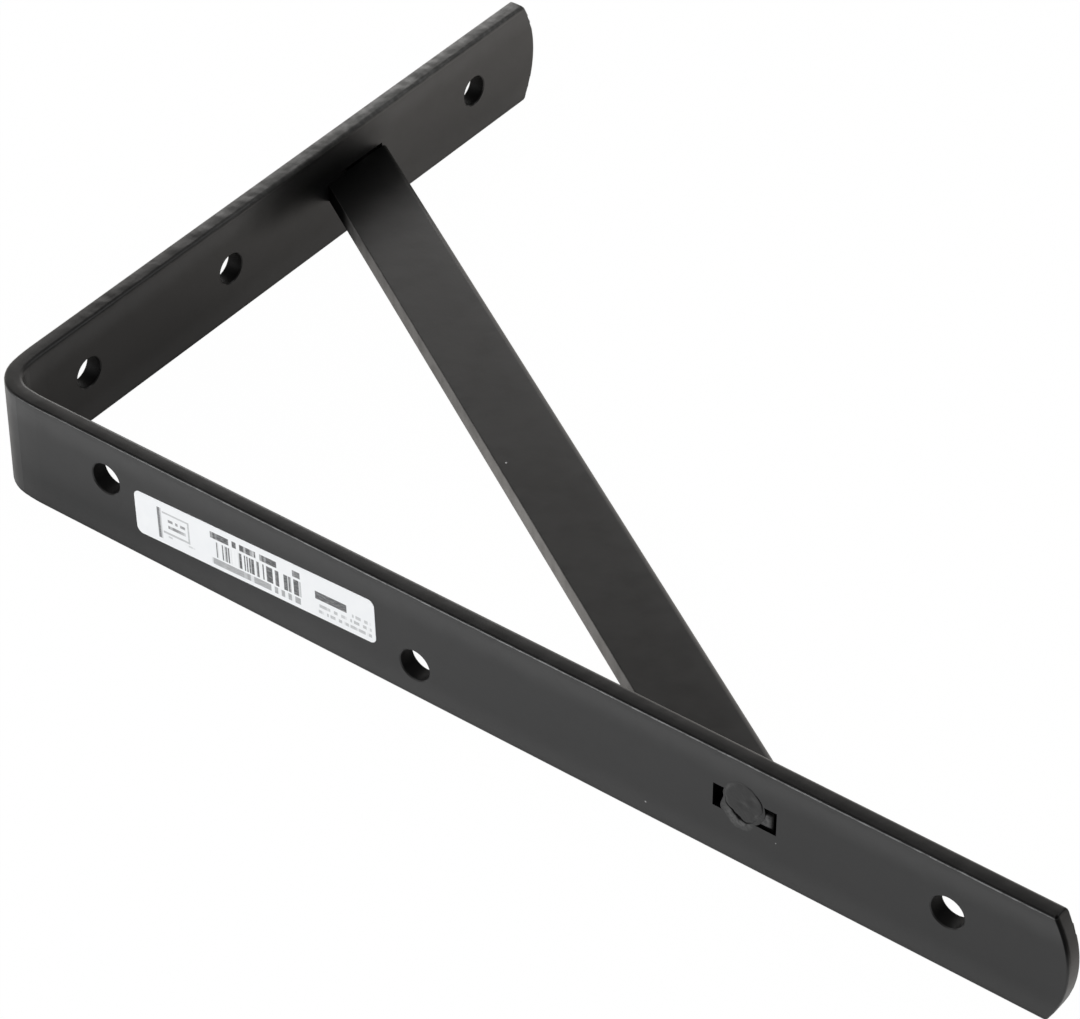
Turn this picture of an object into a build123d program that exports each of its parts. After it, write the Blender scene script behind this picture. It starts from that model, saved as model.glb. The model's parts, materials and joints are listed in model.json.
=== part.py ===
from build123d import *
import math
import os

os.makedirs("parts", exist_ok=True)

# All lengths are in millimetres. The wall is the plane X = 0, +X points out from it under the shelf,
# +Z points up, and the bar is centred on Y = 0. The origin is the mouth of the top wall screw hole.

# The bent bar, whose long edges are crowned and rolled more on the inner face than on the outer one
bar_width = 29.6
bar_thickness = 4.6
edge_crown = 0.2
outer_edge_roll = 0.7
inner_edge_roll = 1.2
shelf_arm_length = 295.0
wall_arm_length = 205.0
inside_bend_radius = 6.7
bend_easing_radius = 45.0
bend_easing_angle = 8.0
end_crown = 4.3
end_edge_roll = 0.5

# Screw holes: how far each lies from the bend or from its arm's end, and how far off the middle of the bar
screw_hole_diameter = 8.0
hole_rim_break = 0.3
shelf_hole_back_reach = 37.3
shelf_hole_middle_reach = 127.0
shelf_hole_front_setback = 29.1
shelf_hole_back_offset = 3.5
shelf_hole_middle_offset = -5.4
shelf_hole_front_offset = 1.5
wall_hole_top_drop = 30.8
wall_hole_middle_drop = 82.7
wall_hole_bottom_setback = 25.5

# The brace: a flat bar, sheared along its corner side. Its middle line meets the arms' inner faces here
brace_width = 19.7
brace_thickness = 5.0
brace_offset = 1.2
brace_outer_roll = 1.6
brace_corner_roll = 0.3
brace_shelf_reach = 210.6
brace_wall_drop = 131.9

# The tenons, each shifted a little from the brace's middle line, and the slots that they stand in
tenon_width = 12.6
tenon_setback = 0.6
shelf_tenon_shift = 5.6
wall_tenon_shift = 2.4
tenon_end_play = 1.0
tenon_side_play = 0.1
slot_length = 16.2
slot_width = 6.2

# The heads, staked over the tenons into shallow round seats
head_diameter = 10.0
head_thickness = 0.6
head_sink = 0.05
head_side_play = 0.1
head_shift_along = -0.9
head_shift_across = 1.8
head_rim_round = 0.2

# Planes and places worked out from the sizes above
half_width = bar_width / 2
seat_height = wall_hole_top_drop
under_seat = seat_height - bar_thickness
shelf_face = Plane.XY.offset(seat_height)
wall_face = Plane.YZ
wall_tip = seat_height - wall_arm_length
outside_bend_radius = inside_bend_radius + bar_thickness
easing = math.radians(bend_easing_angle)
bend_reach = outside_bend_radius * (math.cos(easing) - math.sin(easing))
bend_reach += bend_easing_radius * (1 + math.sin(easing) - math.cos(easing))
seat_depth = head_thickness + head_sink
shelf_tenon_reach = brace_shelf_reach + shelf_tenon_shift
wall_tenon_drop = brace_wall_drop + wall_tenon_shift
slot_shift_along = tenon_width / 2 + tenon_end_play - slot_length / 2
shelf_slot_reach = shelf_tenon_reach + slot_shift_along
wall_slot_drop = wall_tenon_drop + slot_shift_along
slot_offset = brace_offset - brace_thickness / 2 - tenon_side_play + slot_width / 2
shelf_head_reach = shelf_tenon_reach + head_shift_along
wall_head_drop = wall_tenon_drop + head_shift_along
head_offset = brace_offset + head_shift_across
shelf_holes = [
    (shelf_hole_back_reach, shelf_hole_back_offset),
    (shelf_hole_middle_reach, shelf_hole_middle_offset),
    (shelf_arm_length - shelf_hole_front_setback, shelf_hole_front_offset),
]
wall_holes = [
    (0, seat_height - wall_hole_top_drop),
    (0, seat_height - wall_hole_middle_drop),
    (0, wall_tip + wall_hole_bottom_setback),
]

# Angle bar: one flat bar swept along its bend, which eases into the arms
with BuildPart() as angle_bar:
    with BuildLine(Plane.XZ) as bend_line:
        wall_line = Line((0, wall_tip), (0, seat_height - bend_reach))
        lower_easing = JernArc(wall_line @ 1, wall_line % 1, bend_easing_radius, -bend_easing_angle)
        tight_angle = 90 - 2 * bend_easing_angle
        tight_bend = JernArc(lower_easing @ 1, lower_easing % 1, outside_bend_radius, -tight_angle)
        upper_easing = JernArc(tight_bend @ 1, tight_bend % 1, bend_easing_radius, -bend_easing_angle)
        Line(upper_easing @ 1, (shelf_arm_length, seat_height))
    with BuildSketch(Plane.XY.offset(wall_tip)) as bar_section:
        with BuildLine():
            Line((0, half_width - edge_crown), (0, edge_crown - half_width))
            ThreePointArc(
                (0, edge_crown - half_width),
                (bar_thickness / 2, -half_width),
                (bar_thickness, edge_crown - half_width),
            )
            Line((bar_thickness, edge_crown - half_width), (bar_thickness, half_width - edge_crown))
            ThreePointArc(
                (bar_thickness, half_width - edge_crown),
                (bar_thickness / 2, half_width),
                (0, half_width - edge_crown),
            )
        make_face()
        fillet(bar_section.vertices().group_by(Axis.X)[0], outer_edge_roll)
        fillet(bar_section.vertices().group_by(Axis.X)[-1], inner_edge_roll)
    sweep(path=bend_line.wires()[0])

    # The shelf arm's crowned end, cut across the bar
    with BuildSketch(shelf_face) as shelf_outline:
        with BuildLine():
            Line((0, half_width), (0, -half_width))
            Line((0, -half_width), (shelf_arm_length - end_crown, -half_width))
            ThreePointArc(
                (shelf_arm_length - end_crown, -half_width),
                (shelf_arm_length, 0),
                (shelf_arm_length - end_crown, half_width),
            )
            Line((shelf_arm_length - end_crown, half_width), (0, half_width))
        make_face()
    extrude(amount=-wall_arm_length, mode=Mode.INTERSECT)

    # The wall arm's crowned end
    with BuildSketch(wall_face) as wall_outline:
        with BuildLine():
            Line((-half_width, seat_height), (half_width, seat_height))
            Line((half_width, seat_height), (half_width, wall_tip + end_crown))
            ThreePointArc(
                (half_width, wall_tip + end_crown),
                (0, wall_tip),
                (-half_width, wall_tip + end_crown),
            )
            Line((-half_width, wall_tip + end_crown), (-half_width, seat_height))
        make_face()
    extrude(amount=shelf_arm_length, mode=Mode.INTERSECT)

    # The edges of both ends are rolled as well
    fillet(angle_bar.faces().sort_by(Axis.X)[-1].edges(), end_edge_roll)
    fillet(angle_bar.faces().sort_by(Axis.Z)[0].edges(), end_edge_roll)

    # Screw holes
    with BuildSketch(shelf_face) as shelf_drilling:
        with Locations(*shelf_holes):
            Circle(screw_hole_diameter / 2)
    extrude(amount=-bar_thickness, mode=Mode.SUBTRACT)
    with BuildSketch(wall_face) as wall_drilling:
        with Locations(*wall_holes):
            Circle(screw_hole_diameter / 2)
    extrude(amount=bar_thickness, mode=Mode.SUBTRACT)
    hole_rims = angle_bar.edges().filter_by(GeomType.CIRCLE)
    hole_rims = hole_rims.filter_by(lambda edge: abs(edge.radius - screw_hole_diameter / 2) < 0.01)
    chamfer(hole_rims, hole_rim_break)

    # Slots for the tenons
    with BuildSketch(shelf_face) as shelf_slot:
        with Locations((shelf_slot_reach, slot_offset)):
            Rectangle(slot_length, slot_width)
    extrude(amount=-bar_thickness, mode=Mode.SUBTRACT)
    with BuildSketch(wall_face) as wall_slot:
        with Locations((slot_offset, seat_height - wall_slot_drop)):
            Rectangle(slot_width, slot_length)
    extrude(amount=bar_thickness, mode=Mode.SUBTRACT)

    # Shallow round seats that the staked heads are driven into
    with BuildSketch(shelf_face) as shelf_seat:
        with Locations((shelf_head_reach, head_offset)):
            Circle(head_diameter / 2 + head_side_play)
    extrude(amount=-seat_depth, mode=Mode.SUBTRACT)
    with BuildSketch(wall_face) as wall_seat:
        with Locations((head_offset, seat_height - wall_head_drop)):
            Circle(head_diameter / 2 + head_side_play)
    extrude(amount=seat_depth, mode=Mode.SUBTRACT)

# Brace: a straight flat bar, cut to fit between the arms, with a tenon and a staked head at each end
brace_run = brace_shelf_reach - bar_thickness
brace_fall = brace_wall_drop - bar_thickness
brace_slope = math.degrees(math.atan2(brace_fall, brace_run))
brace_middle = (bar_thickness + brace_run / 2, under_seat - brace_fall / 2)
brace_blank_length = math.hypot(brace_run, brace_fall) + 8 * brace_width
brace_line = Axis((0, 0, 0), (brace_run, 0, brace_fall))

with BuildPart() as brace:
    with BuildSketch(Plane.XZ.offset(-brace_offset)) as brace_outline:
        with Locations(Location((*brace_middle, 0), (0, 0, brace_slope))):
            Rectangle(brace_blank_length, brace_width)
        with Locations((bar_thickness, under_seat)):
            Rectangle(
                shelf_arm_length,
                wall_arm_length,
                align=(Align.MIN, Align.MAX),
                mode=Mode.INTERSECT,
            )
    extrude(amount=brace_thickness / 2, both=True)
    corner_edges = brace.edges().filter_by(brace_line).group_by(Axis.Z)[-1]
    outer_edges = brace.edges().filter_by(brace_line).group_by(Axis.Z)[0]
    fillet(corner_edges, brace_corner_roll)
    fillet(outer_edges, brace_outer_roll)

    # Tenons, which stop a little short of the outer faces
    with BuildSketch(shelf_face.offset(-bar_thickness)) as shelf_tenon:
        with Locations((shelf_tenon_reach, brace_offset)):
            Rectangle(tenon_width, brace_thickness)
    extrude(amount=bar_thickness - tenon_setback)
    with BuildSketch(wall_face.offset(bar_thickness)) as wall_tenon:
        with Locations((brace_offset, seat_height - wall_tenon_drop)):
            Rectangle(brace_thickness, tenon_width)
    extrude(amount=tenon_setback - bar_thickness)

    # Staked heads, seated flush with the outer faces
    with BuildSketch(shelf_face.offset(-seat_depth)) as shelf_head:
        with Locations((shelf_head_reach, head_offset)):
            Circle(head_diameter / 2)
    extrude(amount=head_thickness)
    with BuildSketch(wall_face.offset(head_sink)) as wall_head:
        with Locations((head_offset, seat_height - wall_head_drop)):
            Circle(head_diameter / 2)
    extrude(amount=head_thickness)
    head_rims = brace.edges().filter_by(GeomType.CIRCLE)
    fillet(head_rims.group_by(Axis.Z)[-1], head_rim_round)
    fillet(head_rims.group_by(Axis.X)[0], head_rim_round)

angle_bar.part.label = "angle_bar"
export_step(angle_bar.part, "parts/angle_bar.step")

brace.part.label = "brace"
export_step(brace.part, "parts/brace.step")
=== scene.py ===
"""Shelf bracket: a bent flat bar and a staked brace in satin black paint, with a paper label.

Lengths are metres in the part's own frame: the wall is the plane X = 0, the shelf lies on top in +Z,
and the bar is centred on Y = 0. The bracket lies on its -Y edges, as on a table, so +Y is up in the
picture.
"""

import json
import math

import bpy
import numpy as np
from mathutils import Matrix, Vector


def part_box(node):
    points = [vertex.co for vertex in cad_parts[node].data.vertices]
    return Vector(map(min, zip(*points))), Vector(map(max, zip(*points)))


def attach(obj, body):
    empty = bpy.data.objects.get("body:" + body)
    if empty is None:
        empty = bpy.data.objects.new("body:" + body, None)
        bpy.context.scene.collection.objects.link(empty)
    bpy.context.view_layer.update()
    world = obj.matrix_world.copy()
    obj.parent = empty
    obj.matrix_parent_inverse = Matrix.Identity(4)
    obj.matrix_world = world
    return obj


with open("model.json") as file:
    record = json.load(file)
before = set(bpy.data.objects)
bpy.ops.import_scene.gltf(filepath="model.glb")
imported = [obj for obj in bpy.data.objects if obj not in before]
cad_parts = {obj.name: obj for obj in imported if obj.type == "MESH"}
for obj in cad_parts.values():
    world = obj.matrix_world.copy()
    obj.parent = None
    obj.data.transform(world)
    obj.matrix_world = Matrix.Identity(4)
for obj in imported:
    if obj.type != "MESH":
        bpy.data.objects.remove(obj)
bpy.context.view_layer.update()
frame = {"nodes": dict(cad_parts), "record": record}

MM = 0.001
mounts = {mount["name"]: mount for mount in frame["record"]["mounts"]}
bar_low, bar_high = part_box("angle_bar")
seat_height = bar_high.z
half_width = bar_high.y

# The bar's and the brace's own sizes, as the part's source has them
BAR_THICKNESS = 4.6 * MM
END_CROWN = 4.3 * MM
BRACE_WIDTH = 19.7 * MM
BRACE_OFFSET = 1.2 * MM
BRACE_SHELF_REACH = 210.6 * MM
BRACE_WALL_DROP = 131.9 * MM
BRACE_RUN = BRACE_SHELF_REACH - BAR_THICKNESS
BRACE_FALL = BRACE_WALL_DROP - BAR_THICKNESS
BRACE_SLOPE = math.atan2(BRACE_FALL, BRACE_RUN)
BRACE_MIDDLE = (
    BAR_THICKNESS + BRACE_RUN / 2,
    BRACE_OFFSET,
    seat_height - BAR_THICKNESS - BRACE_FALL / 2,
)
SLOT_LENGTH = 16.2 * MM
SLOT_WIDTH = 6.2 * MM
SLOT_OFFSET = 1.7 * MM
SHELF_SLOT_REACH = 215.4 * MM
WALL_SLOT_DROP = 133.5 * MM

# Camera
# The camera's place, turn and focal length were fitted to the bracket's outlines in the photograph.

PHOTO_WIDTH = 1080
FOCAL_LENGTH_PIXELS = 4354.4
SENSOR_WIDTH_MM = 36.0
CAMERA_PLACE = (0.58211, 0.63117, 0.58613)
CAMERA_RIGHT = (0.79743, -0.00030, -0.60341)
CAMERA_UP = (-0.38385, 0.77131, -0.50767)


def make_camera():
    """A camera whose columns are its right, its up and the way back from what it looks at."""
    right = Vector(CAMERA_RIGHT).normalized()
    up = (Vector(CAMERA_UP) - right * right.dot(Vector(CAMERA_UP))).normalized()
    back = right.cross(up)
    data = bpy.data.cameras.new("camera")
    data.sensor_width = SENSOR_WIDTH_MM
    data.lens = FOCAL_LENGTH_PIXELS / PHOTO_WIDTH * SENSOR_WIDTH_MM
    data.clip_start = 0.01
    data.clip_end = 20.0
    camera = bpy.data.objects.new("camera", data)
    turn = Matrix((right, up, back)).transposed().to_4x4()
    camera.matrix_world = Matrix.Translation(CAMERA_PLACE) @ turn
    bpy.context.scene.collection.objects.link(camera)
    bpy.context.scene.camera = camera


# Node helpers


def add_node(tree, kind, settings=None, **inputs):
    """One node with its settings and inputs, which go by name, or by number as in _0.

    An input is a plain value or another node's socket.
    """
    node = tree.nodes.new(kind)
    for name, value in (settings or {}).items():
        setattr(node, name, value)
    for name, value in inputs.items():
        key = int(name[1:]) if name[0] == "_" else name.replace("_", " ")
        if isinstance(value, bpy.types.NodeSocket):
            tree.links.new(value, node.inputs[key])
        else:
            node.inputs[key].default_value = value
    return node


def arithmetic(tree, operation, *values):
    """A Math node's result."""
    inputs = {f"_{place}": value for place, value in enumerate(values)}
    return add_node(tree, "ShaderNodeMath", {"operation": operation}, **inputs).outputs[0]


def vector_maths(tree, operation, **inputs):
    """A Vector Math node's outputs, of which Vector or Value holds the result."""
    return add_node(tree, "ShaderNodeVectorMath", {"operation": operation}, **inputs).outputs


def split_place(tree, position):
    """A position's X, Y and Z."""
    return add_node(tree, "ShaderNodeSeparateXYZ", Vector=position).outputs


def strongest(tree, masks):
    """The largest of several masks at each place."""
    largest = masks[0]
    for mask in masks[1:]:
        largest = arithmetic(tree, "MAXIMUM", largest, mask)
    return largest


def smooth_step(tree, value, start, end, low=0.0, high=1.0):
    """The value's smooth way from low at start to high at end."""
    node = add_node(
        tree,
        "ShaderNodeMapRange",
        {"interpolation_type": "SMOOTHSTEP"},
        Value=value,
        From_Min=start,
        From_Max=end,
        To_Min=low,
        To_Max=high,
    )
    return node.outputs["Result"]


def mix_colours(tree, factor, first, second):
    """A colour between two, by a factor."""
    inputs = {"_0": factor, "_6": first, "_7": second}
    return add_node(tree, "ShaderNodeMix", {"data_type": "RGBA"}, **inputs).outputs[2]


def mix_shaders(tree, factor, first, second):
    """A shader between two, by a factor."""
    return add_node(tree, "ShaderNodeMixShader", _0=factor, _1=first, _2=second).outputs[0]


def noise(tree, position, size, detail=2.0, roughness=0.5):
    """A noise's value, with blotches of about that size in metres."""
    inputs = {"Vector": position, "Scale": 1.0 / size, "Detail": detail, "Roughness": roughness}
    return add_node(tree, "ShaderNodeTexNoise", **inputs).outputs["Fac"]


def node_group(name, inputs, outputs):
    """An empty node group with named inputs and outputs, and its two end nodes."""
    group = bpy.data.node_groups.new(name, "ShaderNodeTree")
    for label, kind, value in inputs:
        socket = group.interface.new_socket(label, in_out="INPUT", socket_type=kind)
        if value is not None:
            socket.default_value = value
    for label, kind in outputs:
        group.interface.new_socket(label, in_out="OUTPUT", socket_type=kind)
    given = group.nodes.new("NodeGroupInput").outputs
    out = group.nodes.new("NodeGroupOutput").inputs
    return group, given, out


def place_group(tree, group, **inputs):
    """The outputs of the group, placed as a node in a material with its inputs."""
    return add_node(tree, "ShaderNodeGroup", {"node_tree": group}, **inputs).outputs


VALUE, VECTOR = "NodeSocketFloat", "NodeSocketVector"


def make_paint_skin():
    """Satin paint as sprayed: slow drifts in tone, small blotches in gloss, and a height.

    The height is a fine orange peel on a slow ripple.
    """
    inputs = (
        ("Position", VECTOR, None),
        ("Drift size", VALUE, 30 * MM),
        ("Peel size", VALUE, 1.2 * MM),
    )
    outputs = (("Drift", VALUE), ("Gloss", VALUE), ("Height", VALUE))
    group, given, out = node_group("paint_skin", inputs, outputs)
    position = given["Position"]
    drift = add_node(group, "ShaderNodeTexNoise", Vector=position, Detail=3.0)
    group.links.new(arithmetic(group, "DIVIDE", 1.0, given["Drift size"]), drift.inputs["Scale"])
    group.links.new(drift.outputs["Fac"], out["Drift"])
    group.links.new(noise(group, position, 6 * MM, 4.0, 0.6), out["Gloss"])
    peel = add_node(group, "ShaderNodeTexNoise", Vector=position, Detail=2.0)
    group.links.new(arithmetic(group, "DIVIDE", 1.0, given["Peel size"]), peel.inputs["Scale"])
    ripple = arithmetic(group, "MULTIPLY", noise(group, position, 9 * MM, 1.0), 3.0)
    group.links.new(arithmetic(group, "ADD", peel.outputs["Fac"], ripple), out["Height"])
    return group


def make_long_edge():
    """The long edges of a flat bar. Away is the distance from the edge face, in from its plane.

    The first output is a thin line of worn paint on the roll that is also a painted glint, broken
    up along the bar by noise. Pale is a soft, paler band beside the edge. Edge is 1 on the edge face
    and its roll.
    """
    inputs = (
        ("Position", VECTOR, None),
        ("Away", VALUE, 0.0),
        ("Worn glint place", VALUE, 0.5 * MM),
        ("Worn glint width", VALUE, 0.2 * MM),
    )
    outputs = (("Worn glint", VALUE), ("Pale", VALUE), ("Edge", VALUE))
    group, given, out = node_group("long_edge", inputs, outputs)
    position, away = given["Position"], given["Away"]
    wander = arithmetic(group, "SUBTRACT", noise(group, position, 6 * MM, 3.0), 0.5)

    swayed = arithmetic(group, "MULTIPLY_ADD", wander, 0.2 * MM, away)
    off_line = arithmetic(group, "SUBTRACT", swayed, given["Worn glint place"])
    off_line = arithmetic(group, "ABSOLUTE", off_line)
    off_line = arithmetic(group, "DIVIDE", off_line, given["Worn glint width"])
    line = smooth_step(group, off_line, 0.3, 1.0, 1.0, 0.0)
    flecks = noise(group, position, 2.5 * MM, 4.0, 0.7)
    broken = smooth_step(group, flecks, 0.40, 0.62, 0.35, 1.0)
    group.links.new(arithmetic(group, "MULTIPLY", line, broken), out["Worn glint"])

    swayed_inward = arithmetic(group, "MULTIPLY_ADD", wander, 2 * MM, away)
    rise = smooth_step(group, swayed_inward, 0.0, 2.2 * MM)
    fall = smooth_step(group, swayed_inward, 2.6 * MM, 8.5 * MM, 1.0, 0.0)
    group.links.new(arithmetic(group, "MULTIPLY", rise, fall), out["Pale"])
    group.links.new(smooth_step(group, away, 0.4 * MM, 1.4 * MM, 1.0, 0.0), out["Edge"])
    return group


def make_dust():
    """Sparse pale specks: the middles of a few cells of a cell pattern."""
    inputs = (
        ("Position", VECTOR, None),
        ("Cell size", VALUE, 12 * MM),
        ("Speck size", VALUE, 0.02),
    )
    empty_share = 0.6
    group, given, out = node_group("dust", inputs, (("Mask", VALUE),))
    cells = add_node(group, "ShaderNodeTexVoronoi", {"feature": "F1"}, Vector=given["Position"])
    group.links.new(arithmetic(group, "DIVIDE", 1.0, given["Cell size"]), cells.inputs["Scale"])
    near = arithmetic(group, "LESS_THAN", cells.outputs["Distance"], given["Speck size"])
    lot = add_node(group, "ShaderNodeSeparateColor", Color=cells.outputs["Color"]).outputs[0]
    drawn = arithmetic(group, "GREATER_THAN", lot, empty_share)
    group.links.new(arithmetic(group, "MULTIPLY", near, drawn), out["Mask"])
    return group


paint_skin = make_paint_skin()
long_edge = make_long_edge()
dust = make_dust()

PAINT_DARK = (0.0040, 0.0041, 0.0043, 1.0)
PAINT_PALE = (0.0072, 0.0073, 0.0075, 1.0)
# A paler band beside the edges
PAINT_EDGE_BAND = (0.0260, 0.0262, 0.0265, 1.0)
# Scuffed paint on the wall arm's edges, which is also a painted sheen
PAINT_SCUFFED_SHEEN = (0.0700, 0.0700, 0.0680, 1.0)
# Scuffed paint on the brace's sheared side, which is also a painted sheen
PAINT_SHEARED_SHEEN = (0.0880, 0.0865, 0.0840, 1.0)
# Worn paint on the bar's outer edges, which is also a painted glint
PAINT_WORN_GLINT = (0.1400, 0.1420, 0.1450, 1.0)
# The colour of painted shade in the holes, the slots and round the joints
PAINTED_SHADE = (0.0008, 0.0008, 0.0008, 1.0)
DUST_PALE = (0.30, 0.30, 0.30, 1.0)

# The paint's roughness and gloss, and how much painted shade adds to the one and takes from the other
SATIN_ROUGHNESS = (0.30, 0.36)
SHADE_ROUGHNESS = 0.3
PAINT_GLOSS = 0.5
SHADE_GLOSS = -0.48
PEEL_STRENGTH = 0.15
PEEL_DEPTH = 0.04 * MM

# A hole's shade ends between these two distances past its walls
PAST_WALL = (0.02 * MM, 0.08 * MM)
BORE_SHADE = 0.8

# Round the brace's foot a soft shade lies on the wall arm's inner face. Its distances are stretched
# like this along X, Y and Z, so it reaches further along the arm than across it
FOOT_SHADE_MIDDLE = (BAR_THICKNESS, 10 * MM, seat_height - 115 * MM)
FOOT_SHADE_STRETCH = (0.0, 1.5, 0.5)


def start_material(name):
    """An empty material, its node tree and the Object coordinates of its place."""
    material = bpy.data.materials.new(name)
    material.use_nodes = True
    tree = material.node_tree
    tree.nodes.clear()
    return material, tree, tree.nodes.new("ShaderNodeTexCoord").outputs["Object"]


def finish_material(tree, shader):
    """The shader becomes the material's surface."""
    add_node(tree, "ShaderNodeOutputMaterial", Surface=shader)


def make_paint(tree, position, bands, shade, lumps, lump_depth):
    """Satin black paint on a material's tree.

    bands are masks with their strengths and colours. shade is painted shade, which darkens the
    colour and takes the paint's gloss away. lumps is a height, and lump_depth its size.
    """
    skin = place_group(tree, paint_skin, Position=position)
    specks = place_group(tree, dust, Position=position)
    colour = mix_colours(tree, skin["Drift"], PAINT_DARK, PAINT_PALE)
    for mask, strength, tint in bands:
        colour = mix_colours(tree, arithmetic(tree, "MULTIPLY", mask, strength), colour, tint)
    colour = mix_colours(tree, specks["Mask"], colour, DUST_PALE)
    colour = mix_colours(tree, shade, colour, PAINTED_SHADE)
    satin = smooth_step(tree, skin["Gloss"], 0.3, 0.7, *SATIN_ROUGHNESS)
    lumpy = add_node(
        tree, "ShaderNodeBump", Strength=1.0, Distance=lump_depth, Height=lumps
    ).outputs["Normal"]
    peel = add_node(
        tree,
        "ShaderNodeBump",
        Strength=PEEL_STRENGTH,
        Distance=PEEL_DEPTH,
        Height=skin["Height"],
        Normal=lumpy,
    ).outputs["Normal"]
    shader = add_node(
        tree,
        "ShaderNodeBsdfPrincipled",
        Base_Color=colour,
        Roughness=arithmetic(tree, "MULTIPLY_ADD", shade, SHADE_ROUGHNESS, satin),
        Specular_IOR_Level=arithmetic(tree, "MULTIPLY_ADD", shade, SHADE_GLOSS, PAINT_GLOSS),
        Normal=peel,
    )
    finish_material(tree, shader.outputs["BSDF"])


def within(tree, distance, reach, strength=1.0):
    """A mask of that strength up to a hole's wall and a hair past it."""
    return smooth_step(tree, distance, reach + PAST_WALL[0], reach + PAST_WALL[1], strength, 0.0)


def in_bore(tree, position, mount):
    """A painted shade mask in a screw hole, from its mount: near its axis, seen along the axis."""
    flat = [0.0 if abs(way) > 0.5 else 1.0 for way in mount["axis"]]
    seen = vector_maths(tree, "MULTIPLY", _0=position, _1=flat)["Vector"]
    middle = [place * share for place, share in zip(mount["pos_m"], flat)]
    away = vector_maths(tree, "DISTANCE", _0=seen, _1=middle)["Value"]
    return within(tree, away, mount["dims"]["r_mm"] * MM, BORE_SHADE)


def in_slot(tree, along, across, middle):
    """1 within a slot's outline, where only the slot's walls are: a mask for painted shade."""
    off_middle = arithmetic(tree, "ABSOLUTE", arithmetic(tree, "SUBTRACT", along, middle))
    off_side = arithmetic(tree, "ABSOLUTE", arithmetic(tree, "SUBTRACT", across, SLOT_OFFSET))
    in_length = within(tree, off_middle, SLOT_LENGTH / 2)
    in_width = within(tree, off_side, SLOT_WIDTH / 2)
    return arithmetic(tree, "MULTIPLY", in_length, in_width)


def make_bar_paint():
    """The bent bar's paint.

    Its outer edges have worn paint with painted glints and a paler band beside them, and the wall
    arm's edges are scuffed, with a painted sheen. Painted shade lies in the holes and slots, on the
    shelf arm's end face and round the brace's foot.
    """
    material, tree, position = start_material("bar_paint")
    place = split_place(tree, position)
    inward = arithmetic(tree, "SUBTRACT", half_width, arithmetic(tree, "ABSOLUTE", place["Y"]))
    below_seat = arithmetic(tree, "SUBTRACT", seat_height, place["Z"])
    depth = arithmetic(tree, "MINIMUM", place["X"], below_seat)
    from_corner = arithmetic(tree, "MAXIMUM", place["X"], below_seat)
    on_wall_arm = smooth_step(tree, below_seat, 15 * MM, 50 * MM)
    edge = place_group(tree, long_edge, Position=position, Away=inward)

    # Worn paint with painted glints on the outer edges only, weaker by the bend
    outer = smooth_step(tree, depth, 0.6 * MM, 1.0 * MM, 1.0, 0.0)
    off_bend = smooth_step(tree, from_corner, 20 * MM, 90 * MM, 0.3, 1.0)
    glints = arithmetic(tree, "MULTIPLY", edge["Worn glint"], arithmetic(tree, "MULTIPLY", outer, off_bend))
    # A paler band beside the edges, mostly along the +Y edges
    upper_side = smooth_step(tree, place["Y"], -3 * MM, 3 * MM, 0.5, 1.0)
    pale_band = arithmetic(tree, "MULTIPLY", edge["Pale"], upper_side)
    # Scuffed paint with a painted sheen on the wall arm's edge faces, more towards its tip
    towards_tip = smooth_step(tree, below_seat, 60 * MM, 120 * MM, 0.05, 1.0)
    rubbed = smooth_step(tree, noise(tree, position, 1.8 * MM, 3.0, 0.55), 0.34, 0.74, 0.35, 0.9)
    scuffs_and_sheen = arithmetic(tree, "MULTIPLY", arithmetic(tree, "MULTIPLY", rubbed, towards_tip), edge["Edge"])
    scuffs_and_sheen = arithmetic(tree, "MULTIPLY", scuffs_and_sheen, on_wall_arm)
    bands = ((pale_band, 0.85, PAINT_EDGE_BAND), (scuffs_and_sheen, 0.9, PAINT_SCUFFED_SHEEN), (glints, 0.9, PAINT_WORN_GLINT))

    # Painted shade round the brace's foot on the wall arm's inner face
    off_foot = vector_maths(tree, "SUBTRACT", _0=position, _1=FOOT_SHADE_MIDDLE)["Vector"]
    stretched = vector_maths(tree, "MULTIPLY", _0=off_foot, _1=FOOT_SHADE_STRETCH)["Vector"]
    away = vector_maths(tree, "LENGTH", _0=stretched)["Value"]
    inner_face = smooth_step(tree, place["X"], 3.5 * MM, 4.2 * MM)
    near_foot = smooth_step(tree, away, 4 * MM, 17 * MM, 0.75, 0.0)
    foot_shade = arithmetic(tree, "MULTIPLY", near_foot, inner_face)
    # The shelf arm's end face is crowned, and has painted shade on its upper part
    across = arithmetic(tree, "DIVIDE", place["Y"], half_width)
    squared = arithmetic(tree, "MULTIPLY", across, across)
    crowned = arithmetic(tree, "MULTIPLY_ADD", squared, END_CROWN, place["X"])
    on_end = smooth_step(tree, crowned, bar_high.x - 0.6 * MM, bar_high.x - 0.2 * MM)
    end_depth = smooth_step(tree, below_seat, 0.7 * MM, 1.5 * MM, 0.9, 0.25)
    end_upper = smooth_step(tree, place["Y"], -1 * MM, 9 * MM)
    end_shade = arithmetic(tree, "MULTIPLY", on_end, arithmetic(tree, "MULTIPLY", end_depth, end_upper))
    # Painted shade round the foot, on the end face, in the slots and in the screw holes
    shaded_places = [foot_shade, end_shade]
    shaded_places.append(in_slot(tree, place["X"], place["Y"], SHELF_SLOT_REACH))
    shaded_places.append(in_slot(tree, below_seat, place["Y"], WALL_SLOT_DROP))
    shaded_places += [in_bore(tree, position, mount) for mount in mounts.values() if mount["kind"] == "bore"]

    # The edge faces are lumpy, more so on the wall arm
    coarse = noise(tree, position, 4.5 * MM, 1.5, 0.5)
    share = smooth_step(tree, on_wall_arm, 0.0, 1.0, 0.25, 1.0)
    lumps = arithmetic(tree, "MULTIPLY", arithmetic(tree, "MULTIPLY", coarse, edge["Edge"]), share)
    make_paint(tree, position, bands, strongest(tree, shaded_places), lumps, 0.35 * MM)
    return material


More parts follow.
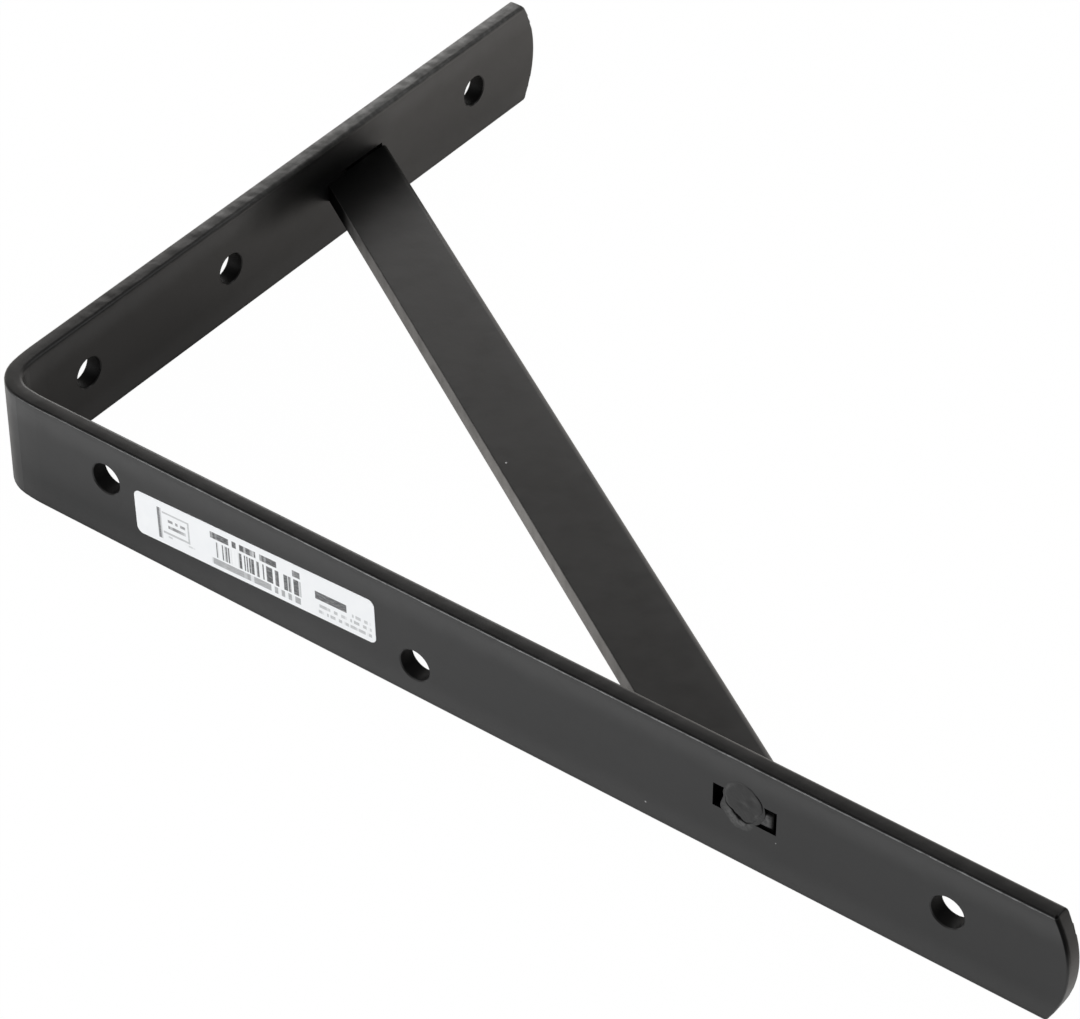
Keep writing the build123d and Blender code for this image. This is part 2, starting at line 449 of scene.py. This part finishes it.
def make_brace_paint():
    """The brace's paint, scuffed paler, also a painted sheen, on the sheared side that faces the corner.

    Painted shade lies near its foot and on the tenons, within the arms.
    """
    material, tree, position = start_material("brace_paint")
    turned = add_node(
        tree,
        "ShaderNodeMapping",
        {"vector_type": "TEXTURE"},
        Vector=position,
        Location=BRACE_MIDDLE,
        Rotation=(0.0, -BRACE_SLOPE, 0.0),
    ).outputs[0]
    across = split_place(tree, turned)["Z"]
    sheared = smooth_step(tree, across, BRACE_WIDTH / 2 - 0.2 * MM, BRACE_WIDTH / 2)
    unsheared = smooth_step(tree, sheared, 0.0, 1.0, 1.0, 0.0)
    outward = arithmetic(tree, "ADD", BRACE_WIDTH / 2, across)
    near_outer = smooth_step(tree, outward, 0.0, 8 * MM, 1.0, 0.0)
    streaks = smooth_step(tree, noise(tree, turned, 5 * MM, 3.0), 0.3, 0.6, 0.5, 1.0)
    # A paler band along the outer side, and scuffed paint on the sheared side, also a painted sheen
    bands = (
        (near_outer, 0.25, PAINT_EDGE_BAND),
        (arithmetic(tree, "MULTIPLY", sheared, streaks), 1.0, PAINT_SHEARED_SHEEN),
    )

    # Painted shade near the foot, on the sheared side near it, and on the tenons within the arms
    place = split_place(tree, position)
    near_foot = smooth_step(tree, place["X"], 10 * MM, 40 * MM, 0.70, 0.0)
    near_foot = arithmetic(tree, "MULTIPLY", near_foot, unsheared)
    sheared_foot = smooth_step(tree, place["X"], 13 * MM, 23 * MM, 0.98, 0.0)
    sheared_foot = arithmetic(tree, "MULTIPLY", sheared_foot, sheared)
    below_seat = arithmetic(tree, "SUBTRACT", seat_height, place["Z"])
    depth = arithmetic(tree, "MINIMUM", place["X"], below_seat)
    in_arm = smooth_step(tree, depth, BAR_THICKNESS - 0.2 * MM, BAR_THICKNESS - 0.1 * MM, 0.95, 0.0)
    shade = strongest(tree, (near_foot, sheared_foot, in_arm))
    make_paint(tree, position, bands, shade, noise(tree, position, 4.5 * MM, 2.0), 0.02 * MM)
    return material


def dress_nodes():
    """The CAD nodes keep their form and get their paint."""
    for name, material in (("angle_bar", make_bar_paint()), ("brace", make_brace_paint())):
        frame["nodes"][name].data.materials.clear()
        frame["nodes"][name].data.materials.append(material)


# Surfaces worked out from arrays

SHARP_ANGLE = math.radians(40.0)


def sheet_faces(columns, rows):
    """Faces of a closed sheet: a grid of points, a like one under it, and walls round the rim."""
    index = np.arange(columns * rows).reshape(columns, rows)
    a, b, c, d = index[:-1, :-1], index[1:, :-1], index[1:, 1:], index[:-1, 1:]
    upper = np.stack([a, b, c, d], -1).reshape(-1, 4)
    lower = np.stack([a, d, c, b], -1).reshape(-1, 4) + columns * rows
    rim = np.concatenate([index[:, 0], index[-1, 1:], index[-2::-1, -1], index[0, -2:0:-1]])
    next_rim = np.roll(rim, -1)
    walls = np.stack([rim + columns * rows, next_rim + columns * rows, next_rim, rim], -1)
    return np.concatenate([upper, lower, walls])


def ring_faces(ring_count, count):
    """Faces of a closed shell: walls between rings, and a fan at each end to a point of its own.

    The points are the rings in order, each with the same count, then the first end's point and the
    last one's.
    """
    index = np.arange(ring_count * count).reshape(ring_count, count)
    following = np.roll(index, -1, axis=1)
    walls = np.stack([index[:-1], index[1:], following[1:], following[:-1]], -1).reshape(-1, 4)
    first, last = ring_count * count, ring_count * count + 1
    first_fan = np.stack([np.full(count, first), index[0], following[0]], -1)
    last_fan = np.stack([index[-1], np.full(count, last), following[-1]], -1)
    return walls.tolist() + first_fan.tolist() + last_fan.tolist()


def make_piece(name, points, faces, material, shares=None, attributes=None):
    """A mesh object from its points and faces, smooth but for its sharp edges.

    shares are the points' places on a UV map, and attributes are values per point.
    """
    mesh = bpy.data.meshes.new(name)
    mesh.from_pydata(points.tolist(), [], faces)
    if shares is not None:
        corners = np.empty(len(mesh.loops), dtype=np.int32)
        mesh.loops.foreach_get("vertex_index", corners)
        layer = mesh.uv_layers.new(name="print_place")
        layer.data.foreach_set("uv", shares[corners].astype(np.float32).ravel())
    for label, values in (attributes or {}).items():
        layer = mesh.attributes.new(label, "FLOAT", "POINT")
        layer.data.foreach_set("value", values.astype(np.float32))
    mesh.materials.append(material)
    mesh.shade_smooth()
    mesh.set_sharp_from_angle(angle=SHARP_ANGLE)
    piece = bpy.data.objects.new(name, mesh)
    bpy.context.scene.collection.objects.link(piece)
    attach(piece, "root")
    return piece


# Paper label
# The label's own lengths run from its left end and its lower edge, as its print is read.

LABEL_LENGTH = 70.1 * MM
LABEL_WIDTH = 12.15 * MM
LABEL_CORNER = 1.7 * MM
LABEL_THICKNESS = 0.1 * MM
LABEL_MIDDLE = (81.1 * MM, 0.05 * MM)
LABEL_TILT = math.radians(1.94)
PAPER_DIM = (0.80, 0.82, 0.84, 1.0)
PAPER_BRIGHT = (0.87, 0.88, 0.89, 1.0)
INK = (0.030, 0.031, 0.034, 1.0)
PRINT_BLUR = 0.06
DASH_CONTRAST = 0.35

# Printed rectangles, in millimetres on the label: left, right, bottom, top and strength
PRINT_BLOCKS = (
    (6.7, 7.5, 1.4, 10.2, 0.86),
    (7.5, 7.9, 1.4, 10.2, 0.38),
    (8.2, 16.0, 9.0, 9.5, 0.42),
    (8.2, 16.0, 3.3, 3.9, 0.45),
    (15.7, 16.2, 3.3, 9.5, 0.42),
    (53.0, 62.0, 5.2, 7.4, 0.96),
)

# Dashes: the same, and then their pitch, how many stay blank and a seed
PRINT_DASHES = (
    (9.8, 15.0, 6.9, 7.7, 0.72, 0.75, 0.02, 3.0),
    (9.8, 15.0, 5.1, 6.0, 0.76, 0.85, 0.02, 11.0),
    (9.0, 17.6, 2.4, 2.9, 0.36, 1.2, 0.4, 17.0),
    (22.6, 28.0, 8.55, 10.35, 0.97, 0.62, -0.12, 1.3),
    (29.0, 30.2, 8.55, 10.35, 0.97, 0.62, -0.12, 5.0),
    (31.2, 35.9, 8.55, 10.35, 0.97, 0.62, -0.12, 7.7),
    (37.1, 42.0, 8.55, 10.35, 0.97, 0.62, -0.12, 9.1),
    (46.6, 48.8, 8.5, 10.3, 0.86, 0.55, -0.05, 21.0),
    (24.2, 49.6, 3.4, 7.8, 0.97, 0.36, 0.28, 41.0),
    (22.6, 48.6, 1.1, 2.9, 0.62, 1.0, 0.02, 57.0),
    (63.0, 69.0, 4.7, 5.6, 0.40, 0.5, 0.2, 61.0),
    (53.2, 69.0, 3.1, 4.0, 0.45, 0.52, 0.2, 67.0),
    (53.2, 69.0, 1.4, 2.3, 0.45, 0.48, 0.2, 71.0),
)


def make_label_mesh():
    """A thin sheet with rounded corners on the shelf arm's outer face.

    The grid runs along the length and across the width. The half width at a place is the straight
    one, less what the corner's quarter circle takes off near the ends. The top face lies one paper
    thickness above the arm, and rises and sinks by two slow waves along it, of about 0.02 and
    0.01 mm. The underside lies flat on the arm.
    """
    ends = np.linspace(0, math.pi / 2, 13)
    corner_part = LABEL_CORNER * (1 - np.cos(ends))
    inner = np.linspace(LABEL_CORNER, LABEL_LENGTH - LABEL_CORNER, 57)[1:-1]
    along = np.concatenate([corner_part, inner, (LABEL_LENGTH - corner_part)[::-1]])
    to_end = np.minimum(along, LABEL_LENGTH - along)
    in_corner = np.clip(LABEL_CORNER - to_end, 0, LABEL_CORNER)
    half = LABEL_WIDTH / 2 - LABEL_CORNER + np.sqrt(np.maximum(LABEL_CORNER**2 - in_corner**2, 0))
    across = np.linspace(-1, 1, 13)
    u, v = np.meshgrid(along, across, indexing="ij")
    y = v * half[:, None]
    wave = 0.018 * MM * np.sin(u / (9.0 * MM)) * np.cos(y / (5.0 * MM))
    wave = wave + 0.012 * MM * np.sin(u / (3.7 * MM) + 1.0)
    upper = np.stack([u, y, LABEL_THICKNESS + wave], -1).reshape(-1, 3)
    lower = np.stack([u, y, np.zeros_like(u)], -1).reshape(-1, 3)
    points = np.concatenate([upper, lower])
    shares = np.stack([u / LABEL_LENGTH, y / LABEL_WIDTH + 0.5], -1).reshape(-1, 2)
    shares = np.tile(shares, (2, 1))
    cosine, sine = math.cos(LABEL_TILT), math.sin(LABEL_TILT)
    turn = np.array([[cosine, -sine], [sine, cosine]])
    flat = (points[:, :2] - (LABEL_LENGTH / 2, 0.0)) @ turn.T + LABEL_MIDDLE
    placed = np.column_stack([flat, points[:, 2] + seat_height])
    return placed, sheet_faces(*u.shape), shares


def inside(tree, value, low, high):
    """A mask that is 1 between two values, with softly printed edges."""
    rise = smooth_step(tree, value, low - PRINT_BLUR, low + PRINT_BLUR)
    fall = smooth_step(tree, value, high - PRINT_BLUR, high + PRINT_BLUR, 1.0, 0.0)
    return arithmetic(tree, "MULTIPLY", rise, fall)


def uneven_dashes(tree, along, pitch, blank, seed):
    """Marks of uneven strength along a line, one to each step of the pitch, and some left blank."""
    place = arithmetic(tree, "ADD", arithmetic(tree, "DIVIDE", along, pitch), seed)
    cell = arithmetic(tree, "FLOOR", place)
    spread = add_node(tree, "ShaderNodeTexWhiteNoise", {"noise_dimensions": "1D"}, W=cell)
    return smooth_step(tree, spread.outputs["Value"], blank, blank + DASH_CONTRAST)


def make_label_paper():
    """White sticker paper, printed in grey with plain blocks, uneven stripes and dashes."""
    material, tree, position = start_material("label_paper")
    uv = add_node(tree, "ShaderNodeUVMap", {"uv_map": "print_place"}).outputs[0]
    shares = split_place(tree, uv)
    along = arithmetic(tree, "MULTIPLY", shares["X"], LABEL_LENGTH / MM)
    across = arithmetic(tree, "MULTIPLY", shares["Y"], LABEL_WIDTH / MM)
    marks = []
    for left, right, bottom, top, strength, *dashes in PRINT_BLOCKS + PRINT_DASHES:
        in_length = inside(tree, along, left, right)
        mask = arithmetic(tree, "MULTIPLY", in_length, inside(tree, across, bottom, top))
        if dashes:
            mask = arithmetic(tree, "MULTIPLY", mask, uneven_dashes(tree, along, *dashes))
        marks.append(arithmetic(tree, "MULTIPLY", mask, strength))
    patchy = smooth_step(tree, noise(tree, uv, 0.02, 3.0), 0.3, 0.6, 0.75, 1.0)
    ink = arithmetic(tree, "MULTIPLY", strongest(tree, marks), patchy)
    paper = mix_colours(tree, noise(tree, position, 5 * MM, 3.0), PAPER_DIM, PAPER_BRIGHT)
    fibres = noise(tree, position, 0.5 * MM, 3.0)
    bump = add_node(tree, "ShaderNodeBump", Strength=0.3, Distance=0.02 * MM, Height=fibres)
    shader = add_node(
        tree,
        "ShaderNodeBsdfPrincipled",
        Base_Color=mix_colours(tree, ink, paper, INK),
        Roughness=0.45,
        Normal=bump.outputs["Normal"],
    )
    finish_material(tree, shader.outputs["BSDF"])
    return material


def make_label():
    """The paper label, as a closed sheet."""
    points, faces, shares = make_label_mesh()
    label = make_piece("paper_label", points, faces.tolist(), make_label_paper(), shares)


# Staked ends of the brace
# Each is worked out in its own lengths in millimetres: a runs out along the arm, b across the bar in
# +Y, and h stands up from the arm's outer face. The head's middle is where the part's source has it.

SHELF_HEAD_REACH = 215.3 * MM
WALL_HEAD_DROP = 133.4 * MM
HEAD_OFFSET = 3.0 * MM
TENON_SETBACK = 0.6

# The head's radius in millimetres at some turns round it, in degrees from out along the arm
# towards +Y
HEAD_OUTLINE = (
    (-180, 4.75),
    (-155, 4.75),
    (-135, 4.1),
    (-107, 4.3),
    (-80, 4.9),
    (-50, 4.3),
    (-25, 3.8),
    (5, 4.6),
    (25, 4.9),
    (54, 4.9),
    (90, 5.35),
    (130, 5.35),
    (155, 5.15),
    (180, 4.75),
)

# The turns round the head where its marks lie, as the shelf arm's head shows them in the picture
LOWER_SIDE = 248
UPPER_RIGHT = 38
UPPER_LEFT = 150
RIGHT_RIM = 332

# The smallest reach of a head's surface from its middle, and how deep its rim goes into the arm
LEAST_REACH = 5.3
RIM_DEPTH = 0.08

# The tenon's end: its middle and half lengths, and the lump that the punch left on it
TENON_END_MIDDLE = (4.85, -1.8)
TENON_END_HALF = (2.32, 2.46)
LUMP_MIDDLE = (5.2, -1.75)
LUMP_REACH = 1.85

# Paler scuffed paint on the staked heads, which is also a painted highlight
STAKE_SCUFF_SHEEN = (0.055, 0.055, 0.055, 1.0)
# The colour of the painted shade in the seams and the pit, and round the tenons' lumps
SEAM_SHADE_DARK = (0.0015, 0.0015, 0.0015, 1.0)


def on_shelf_arm(a, b, h):
    """Places on the shelf arm's outer face, which is its top."""
    return np.stack([SHELF_HEAD_REACH + a * MM, HEAD_OFFSET + b * MM, seat_height + h * MM], -1)


def on_wall_arm(a, b, h):
    """Places on the wall arm's outer face, where out along the arm is down."""
    return np.stack([-h * MM, HEAD_OFFSET + b * MM, seat_height - WALL_HEAD_DROP - a * MM], -1)


def uneven(a, b, seed, size):
    """An uneven field between about -1 and 1: seven sine waves of about one size, added up.

    Each runs in a turned direction, a little shorter than the one before it and shifted in phase.
    """
    turns = np.arange(7) * 2.4 + seed
    total = 0.0
    for step, turn in enumerate(turns):
        run = a * np.cos(turn) + b * np.sin(turn)
        total = total + np.sin(run * (1 + 0.17 * step) / size + turn * 3.1)
    return total / 3.2


def hump(value, middle, width):
    """A smooth hump of height 1 around a middle."""
    return np.exp(-(((value - middle) / width) ** 2))


def head_face(a, b, share, merged, seed):
    """The head's height within its radius: a low dome, two dents and small ripples.

    The dome sinks by the cube of the share of the radius, and further where it is merged.
    """
    dome = 0.17 - (0.05 + 0.11 * merged) * share**3
    left_dent = 0.20 * hump(a, -0.4, 1.2) * hump(b, -0.2, 0.8)
    right_dent = 0.20 * hump(a, 2.1, 1.1) * hump(b, 1.7, 1.1)
    ripples = 0.022 * uneven(a, b, seed, 0.7) + 0.006 * uneven(a, b, seed + 2, 0.25)
    return dome - (left_dent + right_dent) + ripples


def make_staked_head(name, place, mirrored, seed, material):
    """The tenon's metal as the punch left it: an uneven disc, a seam round it and a scuffed lip.

    The surface is a height over rings around the head's middle. The head's radius runs through the
    outline's points, rounded off and with small waves on it. Within it lies the head's face, which
    sinks to the arm on the upper left. At the radius a seam is cut, deep on the lower side and the
    upper right, and none on the upper left, where the rim is raised and scuffed, as it is on the
    right. Outside, a lip falls away to the arm: over 3 mm wide on the lower side, with a pit in it,
    and narrow elsewhere. The seam and the pit are darkened with painted shade, and the scuffs on the
    lip and the rim are paler paint that is also a painted highlight. The last ring then drops into
    the arm and the underside closes to a point.
    """
    count, inner_rows, outer_rows = 180, 30, 16
    turn = np.linspace(0, 2 * math.pi, count, endpoint=False)
    set_turns, set_radii = np.array(HEAD_OUTLINE).T
    signed = np.degrees(np.angle(np.exp(1j * (turn + 0.5 * seed))))
    radius = np.interp(signed, set_turns, set_radii)
    for _ in range(3):
        radius = (np.roll(radius, 1) + 2 * radius + np.roll(radius, -1)) / 4
    radius = radius + 0.05 * np.sin(11 * turn + 0.3 + seed) + 0.03 * np.sin(17 * turn + seed)
    away_low, away_high, away_left, away_rim = (
        np.angle(np.exp(1j * (turn - math.radians(side))))
        for side in (LOWER_SIDE, UPPER_RIGHT, UPPER_LEFT, RIGHT_RIM)
    )

    # What differs round the head
    lip = np.clip(1.3 * hump(away_low, 0.0, 0.72), 0, 1)
    merged = hump(away_left, -0.5, 0.8)
    skirt = 0.26 + 3.3 * lip * (1 + 0.15 * np.sin(9 * turn + seed)) + 0.5 * merged
    skirt = np.maximum(skirt, LEAST_REACH - radius)
    on_low = hump(away_low, -0.1, 0.75)
    seam_and_shade = 0.14 + 1.6 * on_low + 0.8 * hump(away_high, -0.1, 0.30)
    seam_and_shade = seam_and_shade - 0.14 * hump(away_left, 0.0, 1.0)
    rim = 0.7 * hump(away_left, -0.15, 0.35) + 0.6 * hump(away_left, 0.85, 0.35)
    rim = rim + 0.8 * hump(away_rim, 0.0, 0.25)

    # The rings, first those within the radius and then those of the lip
    inside_share = np.linspace(0, 1, inner_rows + 1)[1:, None] ** 0.85
    outside_share = np.linspace(0, 1, outer_rows + 1)[1:, None]
    distance = np.concatenate([inside_share * radius, radius + outside_share * skirt])
    share_out = np.broadcast_to(outside_share, (outer_rows, count))
    share_out = np.concatenate([np.zeros((inner_rows, count)), share_out])
    share_in = np.minimum(distance / radius, 1.0)
    a = distance * np.cos(turn)
    b = distance * np.sin(turn)

    lip_height = (0.05 + 0.14 * lip - 0.02 * merged) * (1 - share_out) ** 1.3 - 0.012 * share_out
    ripples = 0.045 * uneven(a, b, seed + 1, 0.45) + 0.025 * uneven(a, b, seed + 4, 0.2)
    lip_height = lip_height + ripples * lip * (1 - share_out)
    height = np.where(share_out > 0, lip_height, head_face(a, b, share_in, merged, seed))
    groove = np.clip(seam_and_shade, 0, 2) * hump(distance - radius, 0.05, 0.16 + 0.16 * on_low)
    pit = hump(a, -1.1, 0.5) * hump(b, -4.4, 0.45)
    rim = rim * hump(distance - radius, -0.2, 0.4)
    height = height - 0.10 * groove - 0.16 * pit + 0.05 * rim
    # Scuffs on the lip and the rim are paler paint and also a painted highlight; the seam and the pit get
    # painted shade
    patches = 0.95 + 0.35 * uneven(a, b, seed, 0.6)
    scuff_sheen = lip * hump(share_out, 0.35, 0.55) * (share_out > 0) * patches + rim
    painted_shade = 0.75 * groove + 1.2 * pit

    # The last ring in the arm, and a point for each end
    a, b = np.concatenate([a, a[-1:]]), np.concatenate([b, b[-1:]])
    height = np.concatenate([height, np.full((1, count), -RIM_DEPTH)])
    rings = place(a, b, height).reshape(-1, 3)
    top = float(head_face(0.0, 0.0, 0.0, 0.0, seed))
    ends = place(np.zeros(2), np.zeros(2), np.array([top, -RIM_DEPTH]))
    added = np.zeros(count + 2)
    attributes = {
        "scuff_sheen": np.append(np.clip(scuff_sheen, 0, 1).ravel(), added),
        "seam_and_shade": np.append(np.clip(painted_shade, 0, 1).ravel(), added),
    }
    faces = ring_faces(inner_rows + outer_rows + 1, count)
    if mirrored:
        faces = [face[::-1] for face in faces]
    points = np.concatenate([rings, ends])
    piece = make_piece(name, points, faces, material, attributes=attributes)


def make_tenon_end(name, place, mirrored, seed, material):
    """The tenon's outer end beside the head, bruised by the punch.

    The surface is a height over a grid, 4.6 mm along and 4.9 mm across. It rounds down to the tenon
    on all sides by a sixth power. A lump with small ripples stands in its middle and falls off by an
    eighth power. The lump is scuffed paler, which is also a painted highlight, and round it lies
    painted shade.
    """
    u, v = np.meshgrid(np.linspace(-1, 1, 46), np.linspace(-1, 1, 40), indexing="ij")
    a = TENON_END_MIDDLE[0] + TENON_END_HALF[0] * u
    b = TENON_END_MIDDLE[1] + TENON_END_HALF[1] * v
    rounded = (1 - u**6) * (1 - v**6)
    off_lump = ((a - LUMP_MIDDLE[0]) / LUMP_REACH) ** 8 + ((b - LUMP_MIDDLE[1]) / LUMP_REACH) ** 8
    lump = np.exp(-off_lump)
    risen = rounded * (0.08 + 0.42 * lump + 0.07 * uneven(a, b, seed, 0.45) * lump)
    upper = place(a, b, risen - TENON_SETBACK - 0.02).reshape(-1, 3)
    lower = place(a, b, np.full_like(a, -TENON_SETBACK - 0.06)).reshape(-1, 3)
    faces = sheet_faces(*a.shape)
    if mirrored:
        faces = faces[:, ::-1]
    # Paler scuffs on the lump, also a painted highlight, and painted shade round it
    attributes = {
        "scuff_sheen": np.concatenate([0.75 * lump.ravel(), np.zeros(lump.size)]),
        "seam_and_shade": np.concatenate([1 - lump.ravel(), np.ones(lump.size)]),
    }
    points = np.concatenate([upper, lower])
    piece = make_piece(name, points, faces.tolist(), material, attributes=attributes)


def make_staked_paint():
    """The same paint, bruised: scuff makes it paler and a painted highlight, seam a painted shade."""
    material, tree, position = start_material("staked_paint")
    skin = place_group(tree, paint_skin, Position=position)
    scuff_sheen, seam_and_shade = (
        add_node(tree, "ShaderNodeAttribute", {"attribute_name": name}).outputs["Fac"]
        for name in ("scuff_sheen", "seam_and_shade")
    )
    plain = mix_colours(tree, skin["Drift"], PAINT_DARK, PAINT_PALE)
    rubbed = smooth_step(tree, noise(tree, position, 0.7 * MM, 4.0, 0.65), 0.25, 0.6)
    scuffed_sheen = mix_colours(tree, arithmetic(tree, "MULTIPLY", scuff_sheen, rubbed), plain, STAKE_SCUFF_SHEEN)
    grain = noise(tree, position, 0.6 * MM, 2.0)
    bump = add_node(tree, "ShaderNodeBump", Strength=0.2, Distance=0.05 * MM, Height=grain)
    shader = add_node(
        tree,
        "ShaderNodeBsdfPrincipled",
        Base_Color=mix_colours(tree, seam_and_shade, scuffed_sheen, SEAM_SHADE_DARK),
        Roughness=smooth_step(tree, seam_and_shade, 0.0, 0.5, SATIN_ROUGHNESS[1], 0.95),
        Specular_IOR_Level=smooth_step(tree, seam_and_shade, 0.0, 1.0, PAINT_GLOSS, 0.02),
        Normal=bump.outputs["Normal"],
    )
    finish_material(tree, shader.outputs["BSDF"])
    return material


def make_stakes():
    """Both ends of the brace, alike but not the same."""
    paint = make_staked_paint()
    make_staked_head("staked_head_shelf", on_shelf_arm, False, 0.0, paint)
    make_staked_head("staked_head_wall", on_wall_arm, True, 1.7, paint)
    make_tenon_end("tenon_end_shelf", on_shelf_arm, False, 0.4, paint)
    make_tenon_end("tenon_end_wall", on_wall_arm, True, 2.9, paint)


# Stage

WHITE = (1.0, 1.0, 1.0, 1.0)
WARM_WHITE = (1.0, 0.955, 0.91, 1.0)

# The table: half its length, how far it lies under the bracket, its level as the paint mirrors it,
# with painted shade by the bend and plain elsewhere, how much of that glows by itself, and how
# white the camera sees it
TABLE_REACH = 3.0
TABLE_GAP = 0.2 * MM
TABLE_SHADE, TABLE_LEVEL = 0.38, 0.82
TABLE_GLOW = 0.45
TABLE_WHITE = 0.992

# The level of the world's light, and the ways in which what the paint mirrors gets darker: from
# where to where, and down to which share
WORLD_LEVEL = 0.70
WORLD_FALLS = (
    ("Y", 0.40, 0.76, 0.15),
    ("X", -0.15, 0.35, 0.12),
    ("Z", -0.45, 0.05, 0.35),
)

# Each lamp's place from the bracket's middle, its size in metres and its power in watts
BRACKET_MIDDLE = Vector((0.12, 0.0, -0.04))
LAMPS = {
    "key_lamp": ((-0.50, 0.75, 0.60), 0.5, 7.5),
    "edge_lamp": ((-0.50, 0.16, 0.94), 0.5, 3.4),
    "far_lamp": ((-0.85, 0.36, -1.0), 0.5, 1.6),
    "overhead_lamp": ((0.50, 0.80, -0.65), 0.4, 0.8),
}


def make_table_white(height):
    """The table's material: plain white to the camera, and a card that the paint mirrors.

    The card is partly lit and partly glowing, with painted shade near the bend, and warmer behind
    the shelf arm's face. From below, the table isn't seen.
    """
    material, tree, position = start_material("table_white")
    path = tree.nodes.new("ShaderNodeLightPath").outputs
    outward = split_place(tree, position)["Z"]
    away = vector_maths(tree, "DISTANCE", _0=position, _1=(18 * MM, height, -15 * MM))["Value"]
    off_bend = smooth_step(tree, away, 20 * MM, 90 * MM, TABLE_SHADE, TABLE_LEVEL)
    before_shelf = smooth_step(tree, outward, 25 * MM, 45 * MM, 0.0, TABLE_LEVEL)
    level = strongest(tree, (off_bend, before_shelf))
    tint = mix_colours(tree, smooth_step(tree, outward, 0.0, 40 * MM), WARM_WHITE, WHITE)
    tone = vector_maths(tree, "SCALE", _0=tint, Scale=level)["Vector"]
    lit = add_node(tree, "ShaderNodeBsdfDiffuse", Color=tone).outputs[0]
    glowing = add_node(tree, "ShaderNodeEmission", Color=tone, Strength=1.0).outputs[0]
    card = mix_shaders(tree, TABLE_GLOW, lit, glowing)
    plain = add_node(tree, "ShaderNodeEmission", Color=WHITE, Strength=1.0).outputs[0]
    plain_share = smooth_step(tree, path["Is Camera Ray"], 0.0, 1.0, 0.0, TABLE_WHITE)
    from_above = mix_shaders(tree, plain_share, card, plain)
    nothing = tree.nodes.new("ShaderNodeBsdfTransparent").outputs[0]
    below = tree.nodes.new("ShaderNodeNewGeometry").outputs["Backfacing"]
    finish_material(tree, mix_shaders(tree, below, from_above, nothing))
    return material


def make_floor():
    """A white table just under the bracket's -Y edges, seen only from above."""
    height = bar_low.y - TABLE_GAP
    signs = ((-1, -1), (-1, 1), (1, 1), (1, -1))
    corners = [(x * TABLE_REACH, height, z * TABLE_REACH) for x, z in signs]
    mesh = bpy.data.meshes.new("table")
    mesh.from_pydata(corners, [], [(0, 1, 2, 3)])
    mesh.materials.append(make_table_white(height))
    floor = bpy.data.objects.new("table", mesh)
    bpy.context.scene.collection.objects.link(floor)
    floor.visible_diffuse = False
    floor.visible_shadow = False


def make_world():
    """A white backdrop for the camera and a plain level of light.

    What the paint mirrors is bright only low down behind the wall arm, and dark overhead and on the
    camera's side.
    """
    world = bpy.data.worlds.new("studio")
    bpy.context.scene.world = world
    world.use_nodes = True
    tree = world.node_tree
    tree.nodes.clear()
    path = tree.nodes.new("ShaderNodeLightPath").outputs
    direction = tree.nodes.new("ShaderNodeTexCoord").outputs["Generated"]
    way = split_place(tree, direction)
    mirrored = 1.0
    for axis, start, end, share in WORLD_FALLS:
        fall = smooth_step(tree, way[axis], start, end, 1.0, share)
        mirrored = arithmetic(tree, "MULTIPLY", mirrored, fall)
    as_lit = smooth_step(tree, path["Is Glossy Ray"], 0.0, 1.0, WORLD_LEVEL, mirrored)
    straight = arithmetic(tree, "MAXIMUM", path["Is Camera Ray"], path["Is Transmission Ray"])
    level = arithmetic(tree, "MAXIMUM", straight, as_lit)
    tint = mix_colours(tree, path["Is Glossy Ray"], WHITE, WARM_WHITE)
    background = add_node(tree, "ShaderNodeBackground", Color=tint, Strength=level)
    add_node(tree, "ShaderNodeOutputWorld", Surface=background.outputs[0])


def make_lamp(name, offset, size, watts):
    """A soft square lamp that faces the bracket's middle."""
    data = bpy.data.lights.new(name, "AREA")
    data.shape = "SQUARE"
    data.size = size
    data.energy = watts
    lamp = bpy.data.objects.new(name, data)
    place = BRACKET_MIDDLE + Vector(offset)
    lamp.location = place
    lamp.rotation_euler = (BRACKET_MIDDLE - place).to_track_quat("-Z", "Y").to_euler()
    bpy.context.scene.collection.objects.link(lamp)
    return lamp


def make_lights():
    """A key lamp before the shelf arm's face, and three lamps that the paint mirrors on its edges.

    The paint doesn't mirror the key lamp, which would whiten the shelf arm's whole face from some
    sides. The edge lamp is only mirrored and lights nothing else.
    """
    lamps = {name: make_lamp(name, *settings) for name, settings in LAMPS.items()}
    lamps["key_lamp"].visible_glossy = False
    lamps["edge_lamp"].visible_diffuse = False


make_camera()
dress_nodes()
make_label()
make_stakes()
make_floor()
make_world()
make_lights()

scene = bpy.context.scene
scene.view_settings.view_transform = "Standard"
